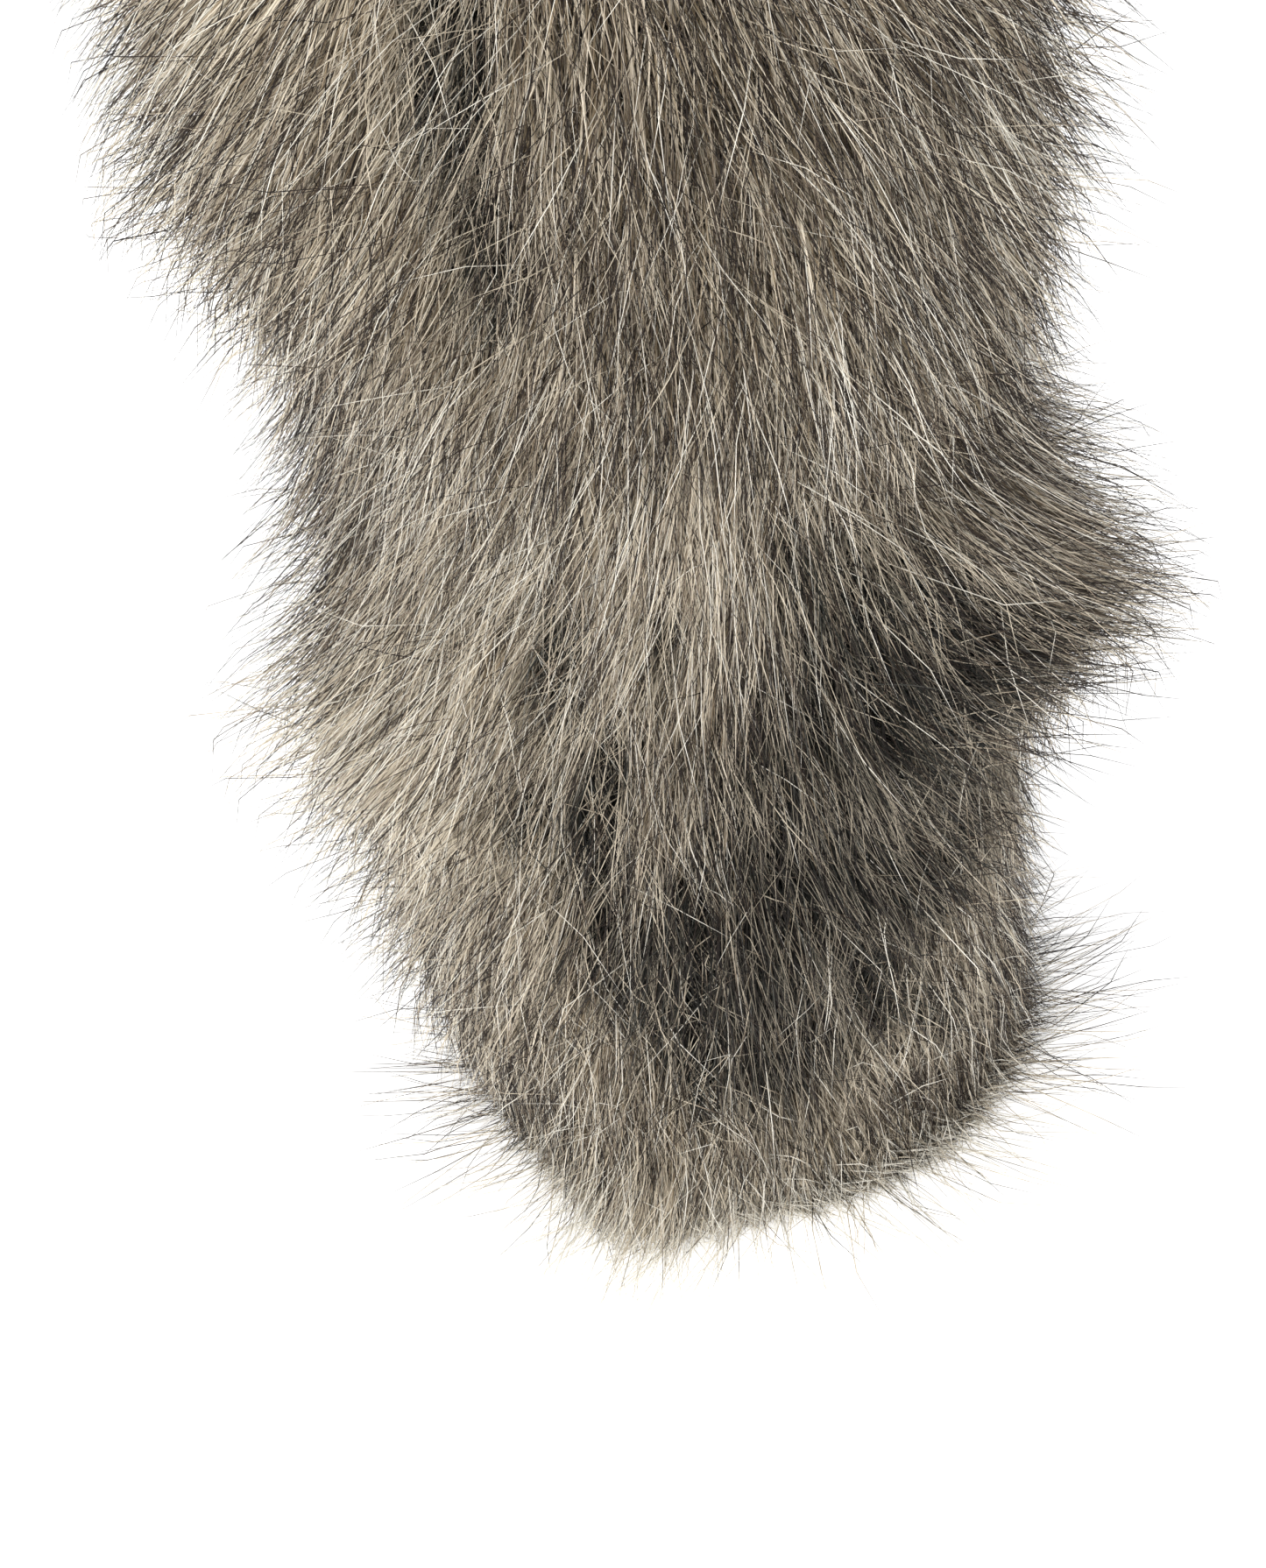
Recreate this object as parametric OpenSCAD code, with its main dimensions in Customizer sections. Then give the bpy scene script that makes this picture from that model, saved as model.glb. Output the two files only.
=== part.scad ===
// Furry basket windscreen for a short shotgun microphone.
// A rear collar with a rubber boot grips the microphone. A rod-and-hoop cage covered in acoustic
// mesh turns on the collar by a bayonet, and a lined fur jacket pulls over the cage.
// The collar's foot stands on z = 0 and the nose points to +Z.

/* [Microphone] */
// Diameter of the microphone barrel that the boot grips
mic_d = 19; // [17:0.5:21]
// Length of the boot's gripping bore
grip_len = 24; // [20:1:30]
// Gap all round between the barrel and the cradle's hub
cradle_gap = 0.25; // [0.15:0.05:0.4]

/* [Collar] */
// Thickness of the foot flange that the windscreen stands on
foot_t = 3; // [2.5:0.5:5]
// Height of the spigot above the foot
spigot_h = 15; // [14:1:20]
// Wall of the spigot
collar_wall = 4; // [3:0.5:5]
// How far each bayonet lug stands out of the spigot
lug_out = 2; // [1.5:0.25:2.25]
// Number of bayonet lugs
lug_count = 3; // [2:1:4]
// Angle through which the cage turns to unlock
unlock_angle = 30; // [24:1:36]
// Number of screws in the boot's clamp ring
screw_count = 4; // [3:1:8]

/* [Cage] */
// Outside diameter of the cage's hoops
cage_d = 66; // [62:1:84]
// Length of the cage from the foot to the centre of its round nose
cage_len = 199; // [150:1:260]
// Radial width of a hoop
hoop_w = 5; // [4.5:0.25:6]
// Height of a hoop
hoop_h = 4; // [3:0.5:6]
// Diameter of a lengthwise rod
rod_d = 3; // [2:0.5:3]
// Number of lengthwise rods
rod_count = 8; // [6:1:12]
// Thickness of the acoustic mesh
mesh_t = 0.8; // [0.5:0.1:1.2]
// Width of a rib in the round nose
nose_rib_w = 2.4; // [1.6:0.2:4]

/* [Jacket] */
// Thickness of the spacer-knit lining
lining_t = 3; // [2:0.5:5]
// Height of the sewn hem channel
hem_h = 9; // [7:0.5:14]
// Depth of the pile, from the backing to its outermost tufts
pile = 29; // [20:1:36]
// Depth of the pile on top of the nose
nose_pile = 22; // [16:1:30]
// Width of the tape that covers the lengthwise seam
tape_w = 12; // [8:1:16]

/* [Hidden] */
$fn = 96;

// Gaps between pieces
turn_gap = 0.3;      // between the collar and the cage that turns on it
jacket_gap = 0.65;   // between the mesh and the jacket that slides over it
seat_gap = 0.05;     // between pieces that are fixed to each other on a round face
sewn_gap = 0.5;      // between the lining and the fur's backing, where the seam tapes lie
cut = 1;             // how far a cutting shape runs past what it cuts

// Microphone and boot
mic_r = mic_d / 2;
boot_wall = 3.5;
sleeve_r = mic_r + boot_wall;
boot_flange_t = 2.5;
grip_ring_h = 1.6;
grip_ring_out = 1;
grip_ring_pitch = 4;

// Cage radii
cage_r = cage_d / 2;
ring_in_r = cage_r - hoop_w;
mesh_in_r = cage_r + seat_gap;
mesh_out_r = mesh_in_r + mesh_t;
rod_r = rod_d / 2;
rod_wall = 0.8;
rod_circle_r = cage_r - rod_wall - rod_r;

// Collar
spigot_r = ring_in_r - turn_gap;
collar_in_r = spigot_r - collar_wall;
collar_recess = 1.5;
clamp_t = 3;
clamp_z = collar_recess;
flange_z = clamp_z + clamp_t;
shelf_z = flange_z + boot_flange_t;
shelf_t = 3;
shelf_hole_r = sleeve_r + 1;
screw_circle_r = (shelf_hole_r + collar_in_r) / 2;
screw_r = 1.25;
screw_head_r = 2.3;
screw_head_h = 1.6;
screw_hole_r = screw_r + seat_gap;
driver_r = 0.9;
driver_depth = 0.9;
spigot_top = foot_t + spigot_h;
gasket_in_r = spigot_r + 2;
gasket_out_r = gasket_in_r + 2.4;
gasket_seat = 1;

// Bayonet, measured from the foot's top
lug_z = foot_t + 4;
lug_h = 3;
lug_angle = 24;
slot_angle = lug_angle + 4;
groove_r = spigot_r + lug_out + turn_gap;

// Heights along the cage
rear_z = foot_t + turn_gap;
rear_ring_h = 14;
rear_lip_h = 3.7;
rear_top = rear_z + rear_ring_h;
dome_z = foot_t + cage_len;
nose_ring_h = 6;
nose_ring_z = dome_z - nose_ring_h;
nose_lip_z = nose_ring_z + 2.5;
nose_lip_h = 1.5;
rod_seat = 5;
hoop_pitch = (nose_ring_z - rear_top) / 4;
dome_wall = 2.5;
dome_foot_h = 2;
dome_hub_r = 7;

// Cradle that steadies the barrel inside the middle hoop
cradle_z = rear_top + 2 * hoop_pitch;
cradle_rim_w = 3.4;
cradle_out_r = ring_in_r - seat_gap;
cradle_in_r = cradle_out_r - cradle_rim_w;
hub_in_r = mic_r + cradle_gap;
hub_wall = 2.75;
hub_h = 8;
web_rim_w = 1;
web_t = 3;
arm_w = 5;
arm_count = 4;

// Jacket radii and heights
lining_in_r = mesh_out_r + jacket_gap;
lining_out_r = lining_in_r + lining_t;
backing_r = lining_out_r + sewn_gap;
fur_r = backing_r + pile;
foot_r = lining_out_r + 1.5;
jacket_z = foot_t + 0.4;
hem_top = jacket_z + hem_h;
hem_cloth = 0.6;
tape_t = sewn_gap - 2 * seat_gap;
tape_end_gap = 2;
nose_tape_h = 5;
label_t = 0.3;
label_h = 14;
label_angle = 30;
back_side = 90;      // angle of the jacket's lengthwise seam about Z
fur_floor_gap = 0.5;
fur_hem_r = foot_r + 0.8;
fur_foot_r = backing_r + 0.70 * pile;
fur_shoulder_z = 60;
fur_neck_z = dome_z - 50;
fur_nose_r = fur_r - 1;
fur_top = dome_z + lining_out_r + sewn_gap + nose_pile;

module ring(r_in, r_out, z, h) {
    difference() {
        translate([0, 0, z]) cylinder(r = r_out, h = h);
        translate([0, 0, z - cut]) cylinder(r = r_in, h = h + 2 * cut);
    }
}

// A piece of a ring that runs from angle a to angle b
module ring_part(r_in, r_out, z, h, a, b) {
    rotate([0, 0, a])
        rotate_extrude(angle = b - a)
            translate([r_in, z]) square([r_out - r_in, h]);
}

module on_circle(count, r) {
    for (i = [0 : count - 1])
        rotate([0, 0, 360 * i / count]) translate([r, 0, 0]) children();
}

// A round cap over the cage's nose, with a straight skirt down to z
module dome_shell(r_in, r_out, z) {
    translate([0, 0, dome_z]) rotate_extrude() {
        intersection() {
            difference() {
                circle(r = r_out);
                circle(r = r_in);
            }
            square(r_out + cut);
        }
        if (z < dome_z)
            translate([r_in, z - dome_z]) square([r_out - r_in, dome_z - z]);
    }
}

module rear_collar() {
    color("#2b2b2d") difference() {
        union() {
            cylinder(r = foot_r, h = foot_t);
            cylinder(r = spigot_r, h = spigot_top);
            for (i = [0 : lug_count - 1])
                ring_part(spigot_r - cut, spigot_r + lug_out, lug_z, lug_h,
                          360 * i / lug_count - lug_angle / 2, 360 * i / lug_count + lug_angle / 2);
        }
        translate([0, 0, -cut]) cylinder(r = collar_in_r, h = shelf_z + cut);
        translate([0, 0, shelf_z + shelf_t]) cylinder(r = collar_in_r, h = spigot_top);
        translate([0, 0, -cut]) cylinder(r = shelf_hole_r, h = spigot_top);
        on_circle(screw_count, screw_circle_r) cylinder(r = screw_hole_r, h = spigot_top);
        ring(gasket_in_r, gasket_out_r, foot_t - gasket_seat, gasket_seat + cut);
    }
}

module collar_gasket() {
    color("#38383a") ring(gasket_in_r + seat_gap, gasket_out_r - seat_gap,
                          foot_t - gasket_seat, gasket_seat + turn_gap / 2);
}

module mic_boot() {
    color("#1d1d1e") difference() {
        union() {
            translate([0, 0, flange_z]) cylinder(r = collar_in_r - seat_gap, h = boot_flange_t);
            translate([0, 0, clamp_z]) cylinder(r = sleeve_r, h = grip_len);
            for (z = [shelf_z + shelf_t + 1 : grip_ring_pitch : clamp_z + grip_len - grip_ring_h])
                translate([0, 0, z]) cylinder(r = sleeve_r + grip_ring_out - seat_gap, h = grip_ring_h);
        }
        translate([0, 0, -cut]) cylinder(r = mic_r, h = clamp_z + grip_len + 2 * cut);
        on_circle(screw_count, screw_circle_r) cylinder(r = screw_hole_r, h = spigot_top);
    }
}

module clamp_ring() {
    color("#3a3a3c") difference() {
        ring(sleeve_r + seat_gap, collar_in_r - seat_gap, clamp_z, clamp_t);
        on_circle(screw_count, screw_circle_r) {
            cylinder(r = screw_hole_r, h = spigot_top);
            translate([0, 0, clamp_z - cut])
                cylinder(r = screw_head_r + seat_gap, h = screw_head_h + cut);
        }
    }
}

module clamp_screws() {
    color("#9a9a98") on_circle(screw_count, screw_circle_r) difference() {
        union() {
            translate([0, 0, clamp_z]) cylinder(r = screw_head_r, h = screw_head_h);
            translate([0, 0, clamp_z]) cylinder(r = screw_r, h = shelf_z + shelf_t - clamp_z);
        }
        translate([0, 0, clamp_z - cut]) cylinder(r = driver_r, h = driver_depth + cut, $fn = 6);
    }
}

module cage_rear_ring() {
    color("#2e2e30") difference() {
        union() {
            ring(ring_in_r, cage_r, rear_z, rear_ring_h);
            ring(ring_in_r, mesh_out_r, rear_z, rear_lip_h);
        }
        for (i = [0 : lug_count - 1]) {
            lug = 360 * i / lug_count;
            ring_part(ring_in_r - cut, groove_r, lug_z - turn_gap, lug_h + 2 * turn_gap,
                      lug - unlock_angle - slot_angle / 2, lug + slot_angle / 2);
            ring_part(ring_in_r - cut, groove_r, rear_z - cut, lug_z - rear_z + cut,
                      lug - unlock_angle - slot_angle / 2, lug - unlock_angle + slot_angle / 2);
        }
        rod_holes(rear_top - rod_seat, rod_seat + cut);
    }
}

module rod_holes(z, h) {
    on_circle(rod_count, rod_circle_r) translate([0, 0, z]) cylinder(r = rod_r + seat_gap, h = h);
}

// Hoop number k, counted from the collar
module hoop(k) {
    z = rear_top + k * hoop_pitch - hoop_h / 2;
    color("#2e2e30") difference() {
        ring(ring_in_r, cage_r, z, hoop_h);
        rod_holes(z - cut, hoop_h + 2 * cut);
    }
}

module lower_hoop() {
    hoop(1);
}

module middle_hoop() {
    hoop(2);
}

module upper_hoop() {
    hoop(3);
}

module cage_rods() {
    z = rear_top - rod_seat;
    color("#54524c") on_circle(rod_count, rod_circle_r)
        translate([0, 0, z]) cylinder(r = rod_r, h = nose_ring_z + rod_seat - z);
}

module nose_ring() {
    color("#2e2e30") difference() {
        union() {
            ring(ring_in_r, cage_r, nose_ring_z, nose_ring_h);
            ring(ring_in_r, mesh_out_r, nose_lip_z, nose_lip_h);
        }
        rod_holes(nose_ring_z - cut, rod_seat + cut);
    }
}

module nose_dome() {
    color("#2e2e30") intersection() {
        dome_shell(cage_r - dome_wall, cage_r, dome_z);
        union() {
            for (i = [0 : 2])
                rotate([0, 0, 60 * i]) translate([-cage_r, -nose_rib_w / 2, dome_z])
                    cube([2 * cage_r, nose_rib_w, cage_r + cut]);
            translate([0, 0, dome_z]) cylinder(r = dome_hub_r, h = cage_r + cut);
            translate([0, 0, dome_z]) cylinder(r = cage_r + cut, h = dome_foot_h);
        }
    }
}

module cage_mesh() {
    z = rear_z + rear_lip_h + seat_gap;
    color("#8b8a86") ring(mesh_in_r, mesh_out_r, z, nose_lip_z - seat_gap - z);
}

module nose_mesh() {
    color("#8b8a86") dome_shell(mesh_in_r, mesh_out_r, nose_lip_z + nose_lip_h + seat_gap);
}

module cradle_ring() {
    color("#2e2e30") ring(cradle_in_r, cradle_out_r, cradle_z - hoop_h / 2, hoop_h);
}

module cradle_web() {
    rim_r = cradle_in_r - seat_gap;
    color("#1f1f20") {
        ring(hub_in_r, hub_in_r + hub_wall, cradle_z - hub_h / 2, hub_h);
        ring(rim_r - web_rim_w, rim_r, cradle_z - hoop_h / 2, hoop_h);
        difference() {
            for (i = [0 : arm_count - 1])
                rotate([0, 0, 360 * (i + 0.5) / arm_count])
                    translate([hub_in_r + hub_wall / 2, -arm_w / 2, cradle_z - web_t / 2])
                        cube([rim_r - web_rim_w / 2 - hub_in_r - hub_wall / 2, arm_w, web_t]);
            translate([0, 0, cradle_z - hub_h]) cylinder(r = hub_in_r, h = 2 * hub_h);
        }
    }
}

module lining_tube() {
    z = hem_top + seat_gap;
    color("#4a4845") ring(lining_in_r, lining_out_r, z, dome_z - seat_gap - z);
}

module lining_nose() {
    color("#4a4845") dome_shell(lining_in_r, lining_out_r, dome_z);
}

module body_seam_tape() {
    half = tape_w / 2 / lining_out_r * 180 / PI;
    z = hem_top + tape_end_gap;
    color("#2f2e2c") ring_part(lining_out_r + seat_gap, lining_out_r + seat_gap + tape_t, z,
                               dome_z - nose_tape_h - seat_gap - z, back_side - half, back_side + half);
}

module nose_seam_tape() {
    color("#2f2e2c") ring(lining_out_r + seat_gap, lining_out_r + seat_gap + tape_t,
                          dome_z - nose_tape_h, nose_tape_h);
}

// A folded strip whose channel the lining closes from above
module hem_band() {
    color("#343331") rotate_extrude() difference() {
        translate([lining_in_r, jacket_z]) square([lining_t, hem_h]);
        translate([lining_in_r + hem_cloth, jacket_z + hem_cloth])
            square([lining_t - 2 * hem_cloth, hem_h]);
    }
}

module hem_elastic() {
    inset = hem_cloth + seat_gap;
    color("#5b5a57") ring(lining_in_r + inset, lining_out_r - inset, jacket_z + inset,
                          hem_h - inset - seat_gap);
}

module care_label() {
    color("#d9d7d0") ring_part(lining_in_r - seat_gap - label_t, lining_in_r - seat_gap,
                               hem_top + tape_end_gap, label_h,
                               back_side - label_angle / 2, back_side + label_angle / 2);
}

// The fur cloth wrapped into a tube, out to its tufts. The pile hangs past the hem to the surface.
module fur_body() {
    color("#8a8374") rotate_extrude() polygon([
        [backing_r, dome_z - seat_gap],
        [backing_r, jacket_z + hem_h / 2],
        [fur_hem_r, jacket_z],
        [fur_hem_r, fur_floor_gap],
        [fur_foot_r, fur_floor_gap],
        [fur_r - 2, fur_shoulder_z / 2],
        [fur_r, fur_shoulder_z],
        [fur_r, fur_neck_z],
        [fur_nose_r, dome_z - seat_gap]
    ]);
}

// The round cap of fur sewn to the top of the tube
module fur_nose() {
    color("#8a8374") rotate_extrude() difference() {
        polygon([
            [0, dome_z],
            for (a = [0 : 7.5 : 90]) [fur_nose_r * cos(a), dome_z + (fur_top - dome_z) * sin(a)]
        ]);
        translate([0, dome_z]) circle(r = backing_r);
    }
}

rear_collar();
mic_boot();
clamp_ring();
clamp_screws();
collar_gasket();
cage_rear_ring();
lower_hoop();
middle_hoop();
upper_hoop();
cage_rods();
nose_ring();
nose_dome();
cage_mesh();
nose_mesh();
cradle_ring();
cradle_web();
lining_tube();
lining_nose();
body_seam_tape();
nose_seam_tape();
hem_band();
hem_elastic();
care_label();
fur_body();
fur_nose();
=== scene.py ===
import math

import bmesh
import bpy
import numpy as np
from mathutils import Matrix, Vector


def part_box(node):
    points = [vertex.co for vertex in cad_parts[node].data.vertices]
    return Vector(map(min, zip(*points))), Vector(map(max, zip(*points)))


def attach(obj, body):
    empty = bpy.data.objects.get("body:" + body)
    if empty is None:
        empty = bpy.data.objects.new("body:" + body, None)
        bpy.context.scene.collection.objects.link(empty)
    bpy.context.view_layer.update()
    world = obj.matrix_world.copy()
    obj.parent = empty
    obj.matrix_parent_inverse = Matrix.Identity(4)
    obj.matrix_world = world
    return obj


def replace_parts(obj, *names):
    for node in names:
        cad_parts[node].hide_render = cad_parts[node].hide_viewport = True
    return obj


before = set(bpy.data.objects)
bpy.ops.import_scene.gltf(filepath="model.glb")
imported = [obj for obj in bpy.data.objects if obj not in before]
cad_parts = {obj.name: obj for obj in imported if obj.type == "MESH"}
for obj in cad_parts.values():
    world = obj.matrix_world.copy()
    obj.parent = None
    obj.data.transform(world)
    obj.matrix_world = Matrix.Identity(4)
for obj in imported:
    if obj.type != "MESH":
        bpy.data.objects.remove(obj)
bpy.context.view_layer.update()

# ---------------------------------------------------------------- sizes, in metres
MM = 0.001
BACKING_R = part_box("lining_tube")[1][0] + 0.5 * MM   # outside of the fur's knitted backing
HEM_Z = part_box("hem_band")[0][2]                     # lower edge of the jacket
DOME_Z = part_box("lining_tube")[1][2]                 # where the tube turns into the round nose
PILE_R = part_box("fur_body")[1][0]                    # radius of the CAD pile's tufts
LOCK_R = BACKING_R + 13 * MM                         # radius at which locks of fur are laid out

TAU = 2 * math.pi
FRONT = -math.pi / 2                                 # azimuth of the side that faces the viewer

UNDERFUR_COUNT = 52000
GUARD_COUNT = 54000
STRAY_COUNT = 20000
USUAL_OUTLINE = 60                                   # mm, radius of the pile far from every listed point
FLOOR_GAP = 0.8 * MM                                 # lowest that a strand comes to the surface
LAMP_COLOUR = (1, 0.97, 0.92)                        # a slightly warm white
WAY_ROUND, WAY_UP = 0.7548776662, 0.5698402910       # irrational steps that spread the roots evenly


# ---------------------------------------------------------------- small tools
def unit(v):
    """Vectors scaled to length one."""
    return v / np.maximum(np.linalg.norm(v, axis=-1, keepdims=True), 1e-12)


def lattice_noise(points, size, seed, channels=1):
    """Smooth noise from about -1 to 1: random values at the corners of cubes of edge size, blended inside
    each cube by 3t^2 - 2t^3 along every axis."""
    n = 32
    table = np.random.default_rng(seed).uniform(-1.4, 1.4, (n, n, n, channels))
    cell = points / size + 1000.0
    base = np.floor(cell).astype(int)
    t = cell - base
    t = t * t * (3 - 2 * t)
    total = 0.0
    for corner in np.ndindex(2, 2, 2):
        at = (base + corner) % n
        weight = np.prod(np.where(corner, t, 1 - t), axis=-1)
        total = total + weight[..., None] * table[at[..., 0], at[..., 1], at[..., 2]]
    return total if channels > 1 else total[..., 0]


def wrap(angle):
    """The angle brought to between minus and plus half a turn."""
    return (angle + math.pi) % TAU - math.pi


def smoothstep(low, high, x):
    """0 below low, 1 above high, and 3t^2 - 2t^3 between them."""
    t = np.clip((x - low) / (high - low), 0, 1)
    return t * t * (3 - 2 * t)


def mesh_piece(name, verts, faces, material, body, uv=None):
    """A mesh object from arrays of corners and triangles, with one UV pair per corner if uv is given."""
    mesh = bpy.data.meshes.new(name)
    count = len(faces)
    mesh.vertices.add(len(verts))
    mesh.vertices.foreach_set("co", np.ascontiguousarray(verts, np.float32).ravel())
    mesh.loops.add(3 * count)
    mesh.loops.foreach_set("vertex_index", np.ascontiguousarray(faces, np.int32).ravel())
    mesh.polygons.add(count)
    mesh.polygons.foreach_set("loop_start", np.arange(0, 3 * count, 3, dtype=np.int32))
    mesh.polygons.foreach_set("use_smooth", np.full(count, True))
    if uv is not None:
        for layer_name in ("strand", "OFBake"):
            layer = mesh.uv_layers.new(name=layer_name)
            layer.uv.foreach_set("vector", np.ascontiguousarray(uv[faces.ravel()], np.float32).ravel())
    mesh.update()
    mesh.validate()
    obj = bpy.data.objects.new(name, mesh)
    bpy.context.scene.collection.objects.link(obj)
    mesh.materials.append(material)
    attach(obj, body)
    return obj


# ---------------------------------------------------------------- camera, floor and light
def camera():
    """A long lens looking down at the lower three quarters of the windscreen, turned a little on its axis."""
    elevation, roll, distance = math.radians(35), math.radians(-8), 0.628
    aim = np.array([-0.0137, 0.0, 0.0584])
    ahead = np.array([0, math.cos(elevation), -math.sin(elevation)])
    side = np.array([1.0, 0, 0])
    up = np.cross(side, ahead)
    right = side * math.cos(roll) + up * math.sin(roll)
    top = np.cross(right, ahead)
    data = bpy.data.cameras.new("camera")
    data.lens, data.sensor_width = 91.7, 36
    data.clip_start, data.clip_end = 0.01, 200
    obj = bpy.data.objects.new("camera", data)
    matrix = np.eye(4)
    matrix[:3, 0], matrix[:3, 1], matrix[:3, 2], matrix[:3, 3] = right, top, -ahead, aim - ahead * distance
    obj.matrix_world = Matrix(matrix.tolist())
    bpy.context.scene.collection.objects.link(obj)
    bpy.context.scene.camera = obj


def area_light(name, place, aim, size, power):
    """A round lamp of the given width and power in watts at place, turned towards aim."""
    data = bpy.data.lights.new(name, "AREA")
    data.shape, data.size, data.energy, data.color = "DISK", size, power, LAMP_COLOUR
    obj = bpy.data.objects.new(name, data)
    way = Vector(aim) - Vector(place)
    obj.location = place
    obj.rotation_euler = way.to_track_quat("-Z", "Y").to_euler()
    bpy.context.scene.collection.objects.link(obj)


def studio():
    """A pale floor under soft light: a broad lamp from the upper left, a low one from the front left that
    reaches the bottom of the pile, a weak one from the right, and an even surround."""
    half = 40.0
    verts = np.array([[-half, -half, 0], [half, -half, 0], [half, half, 0], [-half, half, 0]])
    mesh = bpy.data.meshes.new("floor")
    mesh.from_pydata(verts.tolist(), [], [[0, 1, 2, 3]])
    floor = bpy.data.objects.new("floor", mesh)
    bpy.context.scene.collection.objects.link(floor)
    paint = bpy.data.materials.new("floor_paint")
    paint.use_nodes = True
    shader = paint.node_tree.nodes["Principled BSDF"]
    shader.inputs["Base Color"].default_value = (0.92, 0.92, 0.93, 1)
    shader.inputs["Roughness"].default_value = 0.9
    shader.inputs["Specular IOR Level"].default_value = 0.1
    shader.inputs["Emission Color"].default_value = (1, 1, 1, 1)
    shader.inputs["Emission Strength"].default_value = 0.55
    mesh.materials.append(paint)

    world = bpy.data.worlds.new("surround")
    bpy.context.scene.world = world
    world.use_nodes = True
    world.node_tree.nodes["Background"].inputs["Color"].default_value = (1.0, 1.0, 1.0, 1)
    world.node_tree.nodes["Background"].inputs["Strength"].default_value = 0.85
    area_light("key", (-0.55, -0.9, 1.9), (0, 0, 0.1), 1.3, 14.5)
    area_light("front", (-0.7, -1.7, 0.45), (0, 0, 0.03), 1.2, 22)
    area_light("fill", (1.4, -0.8, 0.9), (0, 0, 0.1), 1.0, 4)
    bpy.context.scene.view_settings.view_transform = "Standard"


# ---------------------------------------------------------------- fur material
PALETTE = 64     # tones of strand side by side on the strand map


def node(tree, kind, **settings):
    """A new node of the given kind, with its settings made."""
    made = tree.nodes.new(kind)
    for key, value in settings.items():
        setattr(made, key, value)
    return made


def ramp(tree, stops):
    """A colour ramp through the stops, each a place from 0 to 1 and a colour."""
    made = tree.nodes.new("ShaderNodeValToRGB")
    elements = made.color_ramp.elements
    while len(elements) < len(stops):
        elements.new(0.5)
    for element, (place, colour) in zip(elements, stops):
        element.position = place
        element.color = (*colour, 1)
    return made


def math_node(tree, operation, a, b=None, c=None, clamp=False):
    """The output of a Math node on a, b and c, each a socket or a number."""
    made = node(tree, "ShaderNodeMath", operation=operation, use_clamp=clamp)
    for socket, value in zip(made.inputs, (a, b, c)):
        if value is None:
            continue
        if hasattr(value, "links"):
            tree.links.new(value, socket)
        else:
            socket.default_value = value
    return made.outputs[0]


def map_ways(tree, layer):
    """The two ways of a piece's own map, as sockets."""
    uv = node(tree, "ShaderNodeUVMap", uv_map=layer)
    split = node(tree, "ShaderNodeSeparateXYZ")
    tree.links.new(uv.outputs[0], split.inputs[0])
    return split.outputs[0], split.outputs[1]


def noise(tree, vector, scale, detail=2):
    """The value of a noise texture over a vector socket."""
    made = node(tree, "ShaderNodeTexNoise")
    made.inputs["Scale"].default_value = scale
    made.inputs["Detail"].default_value = detail
    tree.links.new(vector, made.inputs["Vector"])
    return made.outputs[0]


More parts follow.
